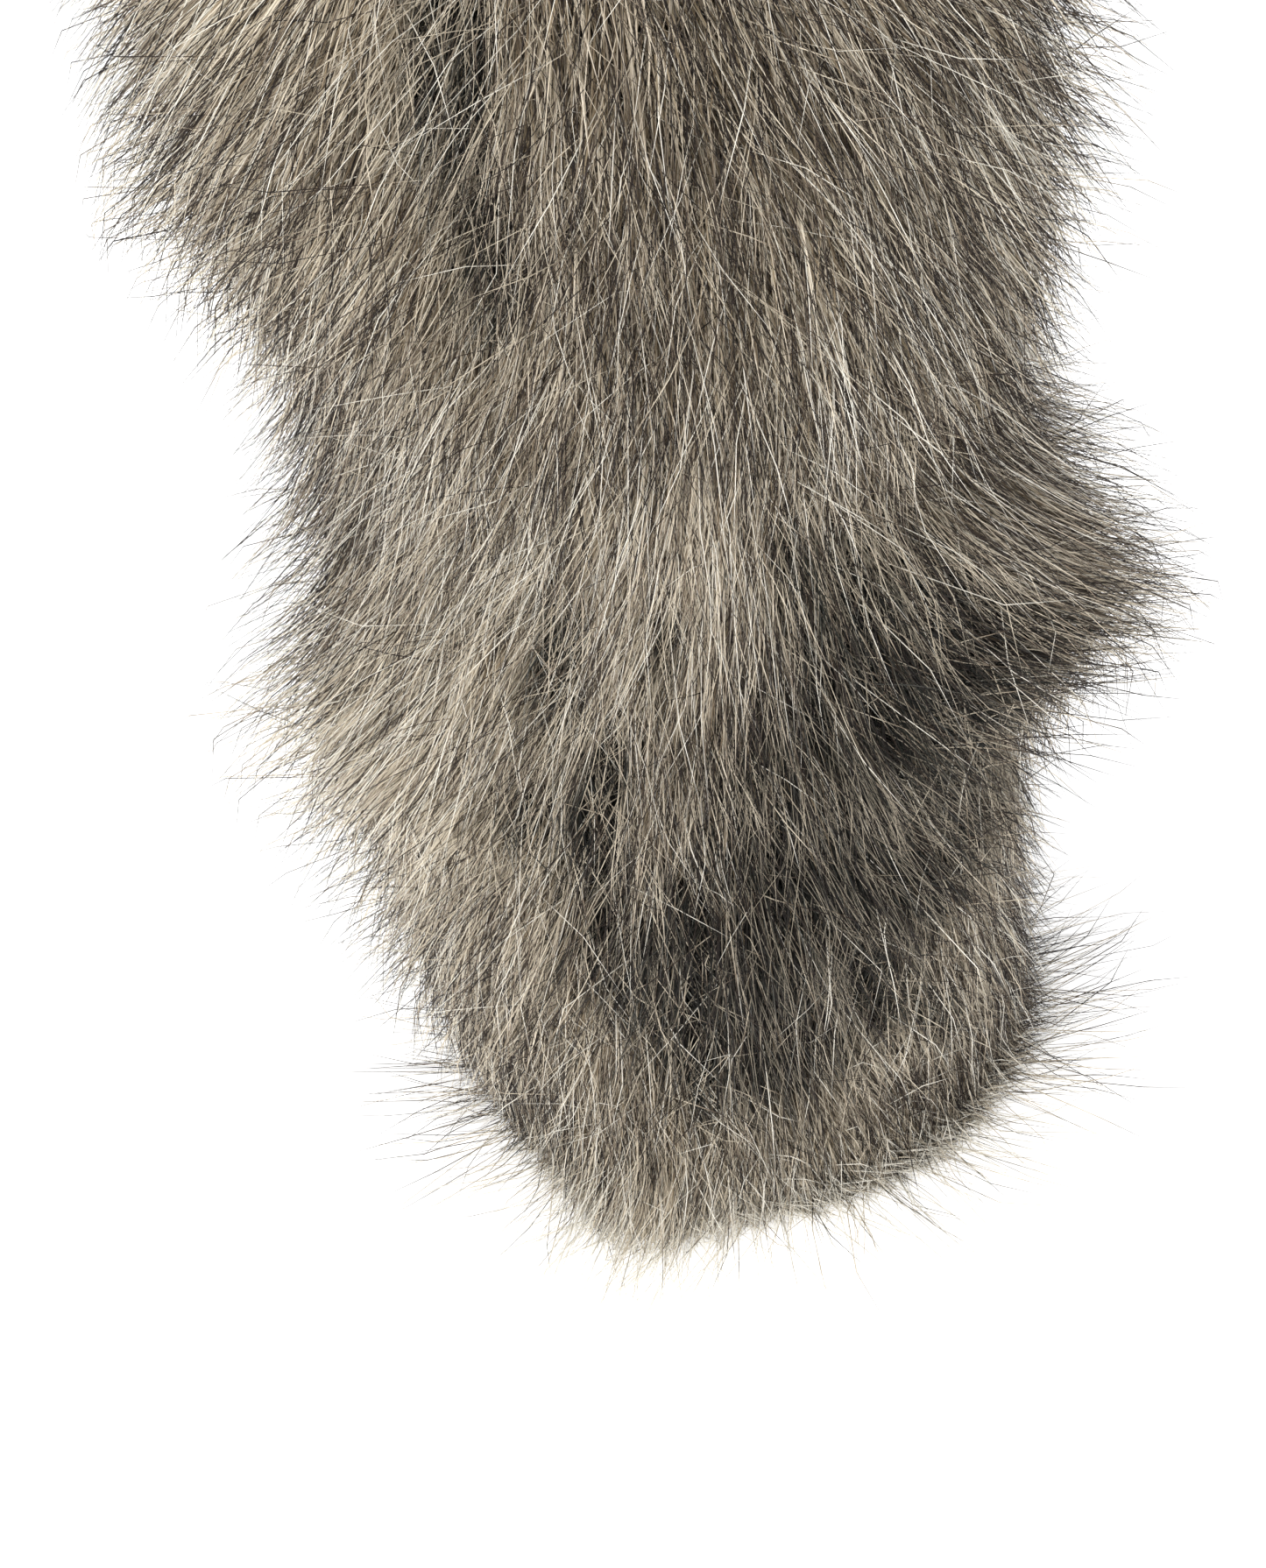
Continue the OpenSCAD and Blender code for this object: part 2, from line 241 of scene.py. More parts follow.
def fur_material():
    """Wolf-grey pile. The strand map holds the strand's tone across it and the way along the strand up it.
    The left half is soft underfur, dark at the root and beige above. The right half is guard hair, with a
    dark root, a pale band and a dark brown tip. The near-black roots are partly the fur's black base and
    partly painted shade deep in the pile. The palest tones make pale strands that are painted highlights."""
    made = bpy.data.materials.new("long_pile_fur")
    made.use_nodes = True
    tree = made.node_tree
    shader = tree.nodes["Principled BSDF"]
    across, along = map_ways(tree, "strand")
    is_guard = math_node(tree, "GREATER_THAN", across, 0.5)
    tone = math_node(tree, "FRACT", math_node(tree, "MULTIPLY", across, 2.0))

    # Underfur colour along the strand: the near-black stops at the root are partly the fur's black base and
    # partly painted shade deep in the pile.
    under = ramp(tree, [(0.0, (0.010, 0.012, 0.010)), (0.20, (0.022, 0.024, 0.020)),
                        (0.36, (0.40, 0.355, 0.275)), (0.60, (0.75, 0.675, 0.55)),
                        (1.0, (0.81, 0.735, 0.61))])
    tree.links.new(along, under.inputs[0])
    # At the lowest tones the underfur is lightened. Pale strands there are painted highlights, and at the hem
    # they are painted light.
    tint = ramp(tree, [(0.0, (1.08, 1.08, 1.08)), (0.55, (0.92, 0.90, 0.87)),
                       (0.72, (0.45, 0.40, 0.33)), (1.0, (0.22, 0.185, 0.145))])
    tree.links.new(tone, tint.inputs[0])
    toned = node(tree, "ShaderNodeMix", data_type="RGBA", blend_type="MULTIPLY")
    toned.inputs[0].default_value = 1.0
    tree.links.new(under.outputs[0], toned.inputs[6])
    tree.links.new(tint.outputs[0], toned.inputs[7])

    stretch = math_node(tree, "MULTIPLY_ADD", tone, 1.3, 0.38)
    along_guard = math_node(tree, "MULTIPLY", along, stretch, clamp=True)
    # Guard hair colour along the strand: the near-black stops at the root are partly the black base and
    # partly painted shade deep in the pile. The dark brown tip is the hair's own colour.
    banded = ramp(tree, [(0.0, (0.009, 0.010, 0.009)), (0.16, (0.024, 0.025, 0.021)),
                         (0.28, (0.46, 0.40, 0.31)), (0.55, (0.73, 0.655, 0.53)),
                         (0.66, (0.30, 0.245, 0.185)), (0.76, (0.050, 0.036, 0.027)),
                         (1.0, (0.016, 0.012, 0.011))])
    tree.links.new(along_guard, banded.inputs[0])
    # Pale guard strands, taken at the lowest tones: painted highlights on the guard hair, and painted light
    # where the pale patches at the hem lower the tone. Their near-black root is partly the black base and
    # partly painted shade.
    pale = ramp(tree, [(0.0, (0.012, 0.013, 0.012)), (0.14, (0.10, 0.10, 0.09)), (0.30, (0.80, 0.765, 0.68)),
                       (1.0, (0.90, 0.87, 0.79))])
    tree.links.new(along, pale.inputs[0])
    guard = node(tree, "ShaderNodeMix", data_type="RGBA")
    tree.links.new(math_node(tree, "LESS_THAN", tone, 0.13), guard.inputs[0])
    tree.links.new(banded.outputs[0], guard.inputs[6])
    tree.links.new(pale.outputs[0], guard.inputs[7])
    kind = node(tree, "ShaderNodeMix", data_type="RGBA")
    tree.links.new(is_guard, kind.inputs[0])
    tree.links.new(toned.outputs[2], kind.inputs[6])
    tree.links.new(guard.outputs[2], kind.inputs[7])
    tree.links.new(kind.outputs[2], shader.inputs["Base Color"])
    shader.inputs["Roughness"].default_value = 0.55
    shader.inputs["Specular IOR Level"].default_value = 0.25
    return made


# ---------------------------------------------------------------- fur
# Places where the pile opens and shows its dark roots, with painted shade on the strands around them: side
# angle from the front in degrees, height of the middle, length and half width in mm, and how far it leans to
# the side per mm of height.
PARTINGS = [
    (-27, 188, 66, 3.2, 0.00), (-34, 205, 40, 1.8, 0.05), (17, 113, 48, 2.9, -0.05),
    (30, 99, 66, 4.5, -0.15), (45, 90, 56, 4.9, -0.10), (38, 124, 26, 2.4, 0.10),
    (-28, 110, 36, 2.8, 0.06), (-24, 82, 44, 4.5, 0.15), (-10, 56, 40, 3.8, 0.05),
    (24, 43, 34, 5.9, -0.50), (40, 28, 22, 4.5, -0.60), (-38, 80, 16, 2.9, 0.30), (-12, 30, 22, 3.0, 0.0),
    (-9, 114, 20, 2.0, 0.0), (6, 66, 20, 2.1, -0.2), (56, 62, 34, 3.6, -0.1),
    (150, 170, 50, 3.0, 0.05), (-160, 120, 60, 3.8, -0.08), (175, 60, 44, 4.1, 0.12),
    (120, 90, 50, 3.2, -0.1),
    (-125, 60, 44, 3.6, 0.1), (-105, 140, 50, 2.5, 0.0), (100, 180, 44, 2.4, 0.05), (-140, 200, 40, 2.1, 0.0),
]
# Where the nap swings to one side: side angle and height of the middle, half sizes both ways, and the swing
# in degrees.
SWINGS = [
    (38, 84, 26, 40, 38), (62, 110, 24, 22, 30), (-42, 84, 24, 34, -22), (-60, 165, 30, 34, -16),
    (30, 20, 34, 24, 16), (-36, 26, 26, 26, -6), (140, 100, 40, 40, 18), (-140, 80, 40, 40, -16),
]
# Patches of darker or paler pile: side angle and height of the middle, half sizes both ways, and how much
# darker. Darker patches also take painted shade. The two broad pale patches at the hem, at -26 and 40
# degrees, are painted light that brightens the bottom of the pile.
PATCHES = [
    (24, 96, 20, 34, 1.45), (40, 84, 12, 26, 1.05), (-22, 78, 13, 22, 0.65), (-6, 46, 16, 20, 0.9),
    (-15, 62, 11, 14, 0.5),
    (30, 30, 18, 13, 0.3), (-27, 188, 9, 34, 0.6), (8, 66, 18, 24, 0.8), (70, 106, 16, 18, 0.5),
    (0, 105, 12, 12, 0.3), (5, 200, 12, 24, 0.25), (40, 180, 14, 30, 0.35),
    # Painted light: the pale patches at the hem, (-26, 4) here and (40, 4) below, brighten the bottom of the
    # pile.
    (-58, 110, 24, 42, -0.5), (-48, 44, 22, 26, -0.2), (-26, 4, 32, 18, -3.2), (0, 140, 18, 22, -0.4),
    (56, 60, 14, 12, -0.3), (40, 4, 30, 12, -2.0), (-40, 150, 18, 26, -0.35), (10, 20, 12, 10, -0.3),
    (150, 80, 30, 30, 0.4), (-150, 150, 24, 40, 0.35), (180, 190, 30, 24, -0.4), (-120, 40, 26, 26, -0.4),
    (110, 150, 26, 30, -0.3), (170, 120, 20, 24, -0.3), (-170, 30, 26, 18, 0.4),
]
# Mean outline of the dense pile: side angle in degrees, height and radius in mm.
OUTLINE = [
    (-90, 0, 42), (-90, 10, 45), (-90, 20, 51), (-90, 39, 58), (-90, 57, 64), (-90, 72, 64), (-90, 84, 75),
    (-90, 99, 69), (-90, 113, 59), (-90, 128, 55), (-90, 143, 54), (-90, 158, 60), (-90, 172, 66),
    (-90, 199, 66), (90, 0, 51), (90, 20, 49), (90, 38, 46), (90, 56, 48), (90, 64, 50), (90, 79, 57),
    (90, 87, 71), (90, 99, 73), (90, 109, 61), (90, 126, 52), (90, 140, 55), (90, 154, 59), (90, 181, 61),
    (90, 205, 62), (-68, 0, 39.5), (-50, 0, 40), (-29, 0, 43), (-29, 14, 47), (0, 0, 40), (25, 0, 39.3),
    (45, 0, 39.3), (65, 0, 41), (45, 14, 42), (22, 14, 42), (0, 16, 45), (0, 60, 56), (0, 100, 58),
    (0, 150, 60), (0, 195, 62), (180, 0, 50), (180, 40, 57), (180, 80, 60), (180, 120, 58), (180, 160, 62),
    (180, 200, 64), (45, 60, 53), (45, 100, 58), (-45, 60, 58), (-45, 100, 60), (-50, 30, 54), (0, 30, 49),
    (30, 35, 47), (60, 25, 45), (-70, 12, 46), (0, 240, 64), (90, 240, 64), (-90, 240, 66), (180, 240, 64),
]
# Single locks that stand out of the outline: side angle and height of the middle, half sizes both ways, and
# how far out, in mm.
LOCKS = [
    (-29, 0, 17, 13, 14), (-88, 170, 12, 10, 6), (-84, 84, 10, 8, 4), (66, 96, 12, 10, 8),
    (48, 112, 10, 8, 4),
    (-40, 98, 8, 8, 4), (-8, 88, 8, 9, 4), (-35, 56, 8, 8, 4), (160, 60, 12, 10, 8), (-150, 110, 10, 12, 8),
    (130, 150, 12, 10, 7), (-160, 180, 10, 10, 6), (105, 36, 12, 10, 6), (-120, 24, 12, 10, 7),
    (20, 170, 8, 9, 3), (-50, 190, 9, 9, 4), (55, 195, 10, 10, 4), (175, 10, 14, 10, 7),
]


def scattered(seed, count, *ranges):
    """Random rows for the sides and the back: a side angle from 75 to 285 degrees, then one number in each
    range."""
    rng = np.random.default_rng(seed)
    lows, highs = np.array([(75, 285), *ranges], float).T
    return [tuple(row) for row in rng.uniform(lows, highs, (count, len(lows)))]


def roots(count, seed):
    """Points spread evenly over the backing by two irrational steps. Equal steps of height are equal areas on
    the tube and, when its radius is the tube's, on the round nose too."""
    rng = np.random.default_rng(seed)
    i = np.arange(count)
    turn = ((i * WAY_ROUND + rng.random(count) * 0.002) % 1) * TAU
    straight = DOME_Z - HEM_Z
    up = ((i * WAY_UP + 0.37) % 1) * (straight + BACKING_R)
    rise = np.clip((up - straight) / BACKING_R, 0, 0.9999)
    flat = np.sqrt(1 - rise ** 2)
    c, s = np.cos(turn), np.sin(turn)
    zero = np.zeros(count)
    out = np.stack([flat * c, flat * s, rise], 1)
    point = np.stack([BACKING_R * flat * c, BACKING_R * flat * s,
                      np.minimum(HEM_Z + up, DOME_Z) + BACKING_R * rise], 1)
    down = np.stack([rise * c, rise * s, -flat], 1)
    side = np.stack([-s, c, zero], 1)
    return point, out, down, side


def nearest(points, centres):
    """Index of the centre closest to each point, worked out block by block."""
    found = np.empty(len(points), int)
    squares = (centres ** 2).sum(1)
    for start in range(0, len(points), 8192):
        block = points[start:start + 8192]
        found[start:start + 8192] = (squares - 2 * block @ centres.T).argmin(1)
    return found


def grow(count, seed, steps, length, lift, sideways, spread, rise_at_root):
    """Paths of count strands: each leaves the backing at rise_at_root and leans over to its lay angle as
    (1 - t)^3 dies away. Lay angle and sideways lean come from noise at three sizes plus each strand's own. On
    the crown of the nose the pile stands up and leans all ways, so that it covers its roots."""
    rng = np.random.default_rng(seed)
    point, out, down, side = roots(count, seed)
    wide = lattice_noise(point, 42 * MM, 11, 3)
    middle = lattice_noise(point, 15 * MM, 12, 3)
    fine = lattice_noise(point, 5.5 * MM, 13, 3)
    lay = lift + 7 * wide[:, 0] + 6 * middle[:, 0] + 4 * fine[:, 0] + rng.normal(0, spread * 0.5, count)
    yaw = sideways * (9 * wide[:, 1] + 11 * middle[:, 1] + 7 * fine[:, 1]) + rng.normal(0, spread, count)
    crown = smoothstep(0.78, 0.98, out[:, 2])
    lay = lay + 46 * crown
    yaw = yaw + 60 * crown * rng.normal(0, 1, count)
    height = point[:, 2] / MM
    turned = np.degrees(wrap(np.arctan2(point[:, 1], point[:, 0]) - FRONT))
    for angle, at, wide_half, tall_half, amount in SWINGS:
        off = np.degrees(wrap(np.radians(turned - angle)))
        yaw = yaw + amount * np.exp(-(off / wide_half) ** 2 - ((height - at) / tall_half) ** 2)
    lay = np.radians(np.clip(lay, 2, 75))
    yaw = np.radians(yaw)
    bend = np.radians(rng.normal(0, 0.8 * spread, count))
    long = length * (1 + 0.12 * wide[:, 2] + 0.12 * middle[:, 2] + rng.normal(0, 0.09, count))
    path = np.empty((count, steps, 3))
    path[:, 0] = point
    start = math.radians(rise_at_root)
    step = long / (steps - 1)
    for k in range(1, steps):
        t = (k - 0.5) / (steps - 1)
        swing = yaw + bend * (t - 0.3)
        flow = down * np.cos(swing)[:, None] + side * np.sin(swing)[:, None]
        angle = lay + (start - lay) * (1 - t) ** 3
        way = flow * np.cos(angle)[:, None] + out * np.sin(angle)[:, None]
        way[:, 2] -= 0.2 * t
        path[:, k] = path[:, k - 1] + unit(way) * step[:, None]
    return path, out


def gather(path, cell, seed, pull, begin):
    """Strands draw together into locks: each leans towards the path of its lock's middle strand, by pull at
    the tip and not at all before begin."""
    rng = np.random.default_rng(seed)
    area = TAU * BACKING_R * (DOME_Z - HEM_Z + BACKING_R)
    middles = rng.choice(len(path), int(area / cell ** 2), replace=False)
    lock = middles[nearest(path[:, 0], path[middles, 0])]
    t = np.linspace(0, 1, path.shape[1])
    strength = pull * np.clip((t - begin) / (1 - begin), 0, 1) ** 1.2
    own = rng.uniform(0.6, 1.0, len(path))
    return path + (path[lock] - path) * (strength[None, :] * own[:, None])[..., None]


def part(path, partings, own):
    """Opens the pile along each parting: a point d to one side moves to the root of d^2 + g^2, where g is the
    gap, full away from the root and fading out at the parting's ends. own is each strand's share of it."""
    t = np.linspace(0, 1, path.shape[1])[None, :]
    free = smoothstep(0.05, 0.45, t)
    turn = np.arctan2(path[..., 1], path[..., 0])
    reach = np.hypot(path[..., 0], path[..., 1])
    height = path[..., 2]
    parting_shade_mask = np.zeros(path.shape[:2])
    for angle, middle, long, half, lean in partings:
        away = (height - middle * MM) / (0.5 * long * MM)
        centre = FRONT + math.radians(angle) + lean * (height - middle * MM) / LOCK_R
        centre = centre + 0.03 * np.sin(height / (5 * MM) + angle)
        d = wrap(turn - centre) * LOCK_R
        window = np.exp(-away ** 4)
        gap = half * MM * window * free * own[:, None]
        moved = np.where(d < 0, -1, 1) * np.sqrt(d ** 2 + gap ** 2)
        turn = turn + (moved - d) / LOCK_R
        # How close each point is to a parting. The largest of these is the mask for the painted shade at
        # partings.
        near = window * np.exp(-(d / (1.9 * half * MM)) ** 2)
        parting_shade_mask = np.maximum(parting_shade_mask, near)
        reach = reach - near * free * own[:, None] * np.minimum(0.5 * (reach - BACKING_R), 9 * MM)
    return np.stack([reach * np.cos(turn), reach * np.sin(turn), height], -1), parting_shade_mask


def outline(turn, height):
    """Radius of the dense pile at each side angle and height: the mean of the listed radii, weighted by how
    near they are."""
    table = np.array(OUTLINE)
    total = np.full(turn.shape, 1e-4)
    weighted = total * USUAL_OUTLINE
    for angle, middle, radius in table:
        off = wrap(turn - FRONT - math.radians(angle)) / math.radians(45)
        near = np.exp(-off ** 2 * 2 - ((height / MM - middle) / 9) ** 2)
        w = near + 0.002 * np.exp(-off ** 2 - ((height / MM - middle) / 40) ** 2)
        total = total + w
        weighted = weighted + w * radius
    return weighted / total * MM


def fill_out(path, usual):
    """Scales the pile's height above the backing so that its dense part ends at the outline. usual is the
    pile height that the strands have before it."""
    turn = np.arctan2(path[..., 1], path[..., 0])
    up = np.maximum(path[..., 2] - DOME_Z, 0)
    reach = np.hypot(path[..., 0], path[..., 1])
    far = np.hypot(reach, up)
    aim = outline(turn, np.minimum(path[..., 2], DOME_Z + 0.03))
    for angle, at, wide_half, tall_half, amount in LOCKS:
        off = np.degrees(wrap(turn - FRONT - math.radians(angle)))
        away = (path[..., 2] / MM - at) / tall_half
        aim = aim + amount * MM * np.exp(-(off / wide_half) ** 2 - away ** 2)
    scale = (aim - BACKING_R) / usual
    grown = np.where(far > BACKING_R, BACKING_R + (far - BACKING_R) * scale, far)
    ratio = grown / np.maximum(far, 1e-6)
    return np.stack([path[..., 0] * ratio, path[..., 1] * ratio,
                     np.where(up > 0, DOME_Z + up * ratio, path[..., 2])], -1)


def hold_in(path):
    """Bends long strands back so that none goes far beyond the pile: past a set distance from the axis, or
    from the centre of the round nose, the rest of the way is squeezed into a limited depth by a tanh."""
    up = np.maximum(path[..., 2] - DOME_Z, 0)
    far = np.sqrt(path[..., 0] ** 2 + path[..., 1] ** 2 + up ** 2)
    rise = up / np.maximum(far, 1e-6)
    start, depth = PILE_R + 2 * MM, 11.5 * MM - 3.5 * MM * rise ** 2
    kept = np.where(far > start, start + depth * np.tanh((far - start) / depth), far)
    ratio = kept / np.maximum(far, 1e-6)
    return np.stack([path[..., 0] * ratio, path[..., 1] * ratio,
                     np.where(up > 0, DOME_Z + up * ratio, path[..., 2])], -1)


def settle(path, seed, splay):
    """Keeps the pile off the surface it stands on: height below a strand's own floor is given up, and the
    strand runs outwards by splay times what it gave up."""
    rng = np.random.default_rng(seed)
    floor = FLOOR_GAP + 5 * MM * (rng.random(len(path)) ** 2)[:, None]
    low = np.minimum(path[:, 0, 2:3], floor)
    floor = np.maximum(low, FLOOR_GAP) * np.ones_like(path[..., 2])
    deep = np.maximum(floor - path[..., 2], 0)
    way = unit(path[..., :2])
    path = path.copy()
    path[..., :2] += way * (splay * deep)[..., None]
    path[..., 2] += deep
    return path


def tubes(path, out, radius, columns, along):
    """Closed three-sided tubes: rings of three corners square to the path, a point at the tip and a cap at
    the root. A ring's radius is radius * (1 - 0.6 s^2), with s the way along. Returns corners, triangles
    and the strand map."""
    count, steps = path.shape[:2]
    tangent = unit(np.gradient(path, axis=1))
    across = unit(np.cross(tangent, out[:, None, :]))
    over = np.cross(across, tangent)
    rings = steps - 1
    spin = np.radians([90, 330, 210])
    shape = 1 - (np.arange(rings) / rings) ** 2 * 0.6
    r = radius[:, None] * shape[None, :]
    ring = (path[:, :rings, None] + (across[:, :rings, None] * np.cos(spin)[:, None]
            + over[:, :rings, None] * np.sin(spin)[:, None]) * r[..., None, None])
    verts = np.concatenate([ring.reshape(count, rings * 3, 3), path[:, -1:]], 1)
    per = rings * 3 + 1
    k = np.arange(rings - 1)[:, None] * 3
    j = np.arange(3)[None, :]
    a, b = k + j, k + (j + 1) % 3
    faces = np.concatenate([np.stack([a, b, b + 3], -1).reshape(-1, 3),
                            np.stack([a, b + 3, a + 3], -1).reshape(-1, 3)])
    last = (rings - 1) * 3
    tip = np.array([[last + i, last + (i + 1) % 3, per - 1] for i in range(3)])
    faces = np.concatenate([faces, tip, [[2, 1, 0]]])
    faces = faces[None] + (np.arange(count) * per)[:, None, None]
    u = (columns[:, None, None] + np.array([0.2, 0.5, 0.8])[None, None]) / PALETTE
    u = np.broadcast_to(u, (count, rings, 3)).reshape(count, -1)
    v = np.repeat(along[:, :rings], 3, axis=1)
    u = np.concatenate([u, (columns[:, None] + 0.5) / PALETTE], 1)
    v = np.concatenate([v, along[:, -1:]], 1)
    return verts, faces, np.stack([u, np.clip(v, 0.01, 0.99)], -1)


def darkness(point, patches):
    """How much darker than usual the pile is at each root: the sum of the patches' bells and of smooth
    noise."""
    height = point[:, 2] / MM
    turned = np.degrees(wrap(np.arctan2(point[:, 1], point[:, 0]) - FRONT))
    total = 0.22 * lattice_noise(point, 26 * MM, 21) + 0.16 * lattice_noise(point, 9 * MM, 22)
    for angle, at, wide_half, tall_half, amount in patches:
        off = np.degrees(wrap(np.radians(turned - angle)))
        total = total + amount * np.exp(-(off / wide_half) ** 2 - ((height - at) / tall_half) ** 2)
    return total


def strand_tones(dark, seed, low, high, own):
    """A palette column for each strand, from low to high, darker to the right: half from the patch that it
    stands in and the rest its own."""
    rng = np.random.default_rng(seed)
    tone = 0.66 + 0.50 * dark + rng.normal(0, own, len(dark))
    # One strand in about fourteen takes the palest tone: pale strands that are painted highlights.
    tone = np.where(rng.random(len(dark)) < 0.07, 0.0, tone)
    return np.floor(low + (high - low) * np.clip(tone, 0, 0.999)).astype(int)


def fur():
    """Underfur, guard hair and stray hairs, as corners, triangles and strand map for each kind."""
    kinds = [
        dict(count=UNDERFUR_COUNT, seed=1, steps=3, length=23 * MM, lift=24, sideways=1.0, spread=17,
             rise_at_root=75, radius=0.28 * MM, columns=(0, 32), own=0.26, painted_shade_share=0.92, parted=(0.8, 1.15),
             crossing=0.02, usual=17, splay=0.05),
        dict(count=GUARD_COUNT, seed=2, steps=4, length=35 * MM, lift=19, sideways=1.0, spread=29,
             rise_at_root=60, radius=0.11 * MM, columns=(32, 64), own=0.34, painted_shade_share=0.80, parted=(0.5, 1.1),
             crossing=0.12, usual=19, splay=0.2),
        dict(count=STRAY_COUNT, seed=3, steps=4, length=43 * MM, lift=30, sideways=1.2, spread=54,
             rise_at_root=60, radius=0.09 * MM, columns=(32, 64), own=0.34, painted_shade_share=0.2, parted=(0.0, 0.6),
             crossing=0.3, usual=22, splay=1.1),
    ]
    more_partings = scattered(71, 34, (12, 238), (14, 46), (1.4, 3.6), (-0.25, 0.25))
    more_patches = scattered(72, 30, (0, 250), (8, 20), (10, 26), (-0.5, 0.6))
    made = []
    for kind in kinds:
        path, out = grow(kind["count"], kind["seed"], kind["steps"], kind["length"], kind["lift"],
                         kind["sideways"], kind["spread"], kind["rise_at_root"])
        root = path[:, 0].copy()
        rng = np.random.default_rng(kind["seed"] + 30)
        for lock_size, seed, pull, begin in ((12 * MM, 31, 0.10, 0.1), (4 * MM, 32, 0.14, 0.2)):
            path = gather(path, lock_size, seed, pull, begin)
        own = rng.uniform(*kind["parted"], len(path)) * (rng.random(len(path)) > kind["crossing"])
        path, parting_shade_mask = part(path, PARTINGS + more_partings, own)
        path = fill_out(path, kind["usual"] * MM)
        path = hold_in(settle(path, kind["seed"] + 40, kind["splay"]))
        rng = np.random.default_rng(kind["seed"] + 50)
        radius = kind["radius"] * rng.uniform(0.7, 1.3, len(path))
        dark = darkness(root, PATCHES + more_patches)
        columns = strand_tones(dark, kind["seed"] + 60, *kind["columns"], kind["own"])
        t = np.linspace(0, 1, path.shape[1])[None, :]
        # Painted shade: near partings and in darker patches, a set share of each kind's strands is coloured
        # with its dark root colour along most of its length, standing in for the shade deep in the pile.
        painted_shade = np.maximum(parting_shade_mask, np.clip(1.3 * dark - 0.12, 0, 0.9)[:, None])
        along = t * (1 - 0.9 * painted_shade * (rng.random((len(path), 1)) < kind["painted_shade_share"]))
        made.append((root, *tubes(path, out, radius, columns, along)))
    return made


def fur_pieces():
    """Cuts the pile into pieces by side and by height, and the nose's pile into front and back."""
    made = fur()
    paint = fur_material()
    sides = ("front", "right", "back", "left")
    levels = ("lower", "middle", "upper")
    step = (DOME_Z - HEM_Z) / len(levels)
    names = [(f"fur_{s}_{h}", "fur_body") for s in sides for h in levels]
    names += [("fur_nose_front", "fur_nose"), ("fur_nose_back", "fur_nose")]
    for name, stands_for in names:
        verts, faces, uvs, base = [], [], [], 0
        for root, v, f, uv in made:
            turn = wrap(np.arctan2(root[:, 1], root[:, 0]) - FRONT)
            side = np.floor((turn + math.pi / 4) / (math.pi / 2)).astype(int) % 4
            level = np.minimum(((root[:, 2] - HEM_Z) / step).astype(int), len(levels) - 1)
            on_nose = root[:, 2] > DOME_Z
            if stands_for == "fur_nose":
                chosen = on_nose & ((root[:, 1] < 0) == (name == "fur_nose_front"))
            else:
                _, s, h = name.split("_")
                chosen = ~on_nose & (side == sides.index(s)) & (level == levels.index(h))
            picked = np.flatnonzero(chosen)
            per = v.shape[1]
            shift = base + (np.arange(len(picked)) - picked) * per
            verts.append(v[picked].reshape(-1, 3))
            faces.append((f[picked] + shift[:, None, None]).reshape(-1, 3))
            uvs.append(uv[picked].reshape(-1, 2))
            base += len(picked) * per
        piece = mesh_piece(name, np.concatenate(verts), np.concatenate(faces), paint, "jacket",
                           uv=np.concatenate(uvs))
        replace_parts(piece, stands_for)


# ---------------------------------------------------------------- cloth, tape, mesh and moulded parts
def revolved(name, outline_rz, around, material, body, turn=(0.0, TAU), relief=None):
    """A closed outline of (radius, height) points carried round the axis from one side angle to another.
    relief, a function of side angle, radius and height, is added to the radius. The two ends of a strip are
    closed by rungs from its outer face to its inner face. The cloth map is the way round and the way along
    the outline, both in metres."""
    ring = np.asarray(outline_rz, float)
    count = len(ring)
    whole = abs(turn[1] - turn[0] - TAU) < 1e-9
    columns = around if whole else around + 1
    angle = turn[0] + (turn[1] - turn[0]) * np.arange(columns) / around
    a, r = np.meshgrid(angle, ring[:, 0], indexing="ij")
    z = np.broadcast_to(ring[:, 1], r.shape)
    if relief is not None:
        r = r + np.where(r > 1e-6, relief(a, r, z), 0)
    verts = np.stack([r * np.cos(a), r * np.sin(a), z], -1).reshape(-1, 3)
    i, j = np.meshgrid(np.arange(around), np.arange(count), indexing="ij")
    i2, j2 = (i + 1) % columns, (j + 1) % count
    quads = np.stack([i * count + j, i2 * count + j, i2 * count + j2, i * count + j2], -1).reshape(-1, 4)
    step = np.hypot(*(np.roll(ring, -1, 0) - ring).T)
    run = np.concatenate([[0], np.cumsum(step)])
    mean_r = ring[:, 0].mean()
    across = np.stack([i, i + 1, i + 1, i], -1) * (turn[1] - turn[0]) / around * mean_r
    along = run[np.stack([j, j, j + 1, j + 1], -1)]
    mesh = bpy.data.meshes.new(name)
    rungs = np.arange(count // 2 - 1)
    first = np.stack([rungs, rungs + 1, count - 2 - rungs, count - 1 - rungs], -1)
    ends = [] if whole else np.concatenate([first, (first + around * count)[:, ::-1]]).tolist()
    mesh.from_pydata(verts.tolist(), [], quads.tolist() + ends)
    layer = mesh.uv_layers.new(name="cloth")
    flat = np.stack([across, along], -1).reshape(-1, 2)
    flat = np.concatenate([flat, np.zeros((len(mesh.loops) - len(flat), 2))])
    layer.uv.foreach_set("vector", flat.astype(np.float32).ravel())
    shape = bmesh.new()
    shape.from_mesh(mesh)
    bmesh.ops.remove_doubles(shape, verts=shape.verts, dist=1e-6)
    bmesh.ops.dissolve_degenerate(shape, edges=shape.edges, dist=1e-7)
    bmesh.ops.recalc_face_normals(shape, faces=shape.faces)
    shape.to_mesh(mesh)
    shape.free()
    mesh.polygons.foreach_set("use_smooth", np.full(len(mesh.polygons), True))
    obj = bpy.data.objects.new(name, mesh)
    bpy.context.scene.collection.objects.link(obj)
    mesh.materials.append(material)
    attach(obj, body)
    return obj


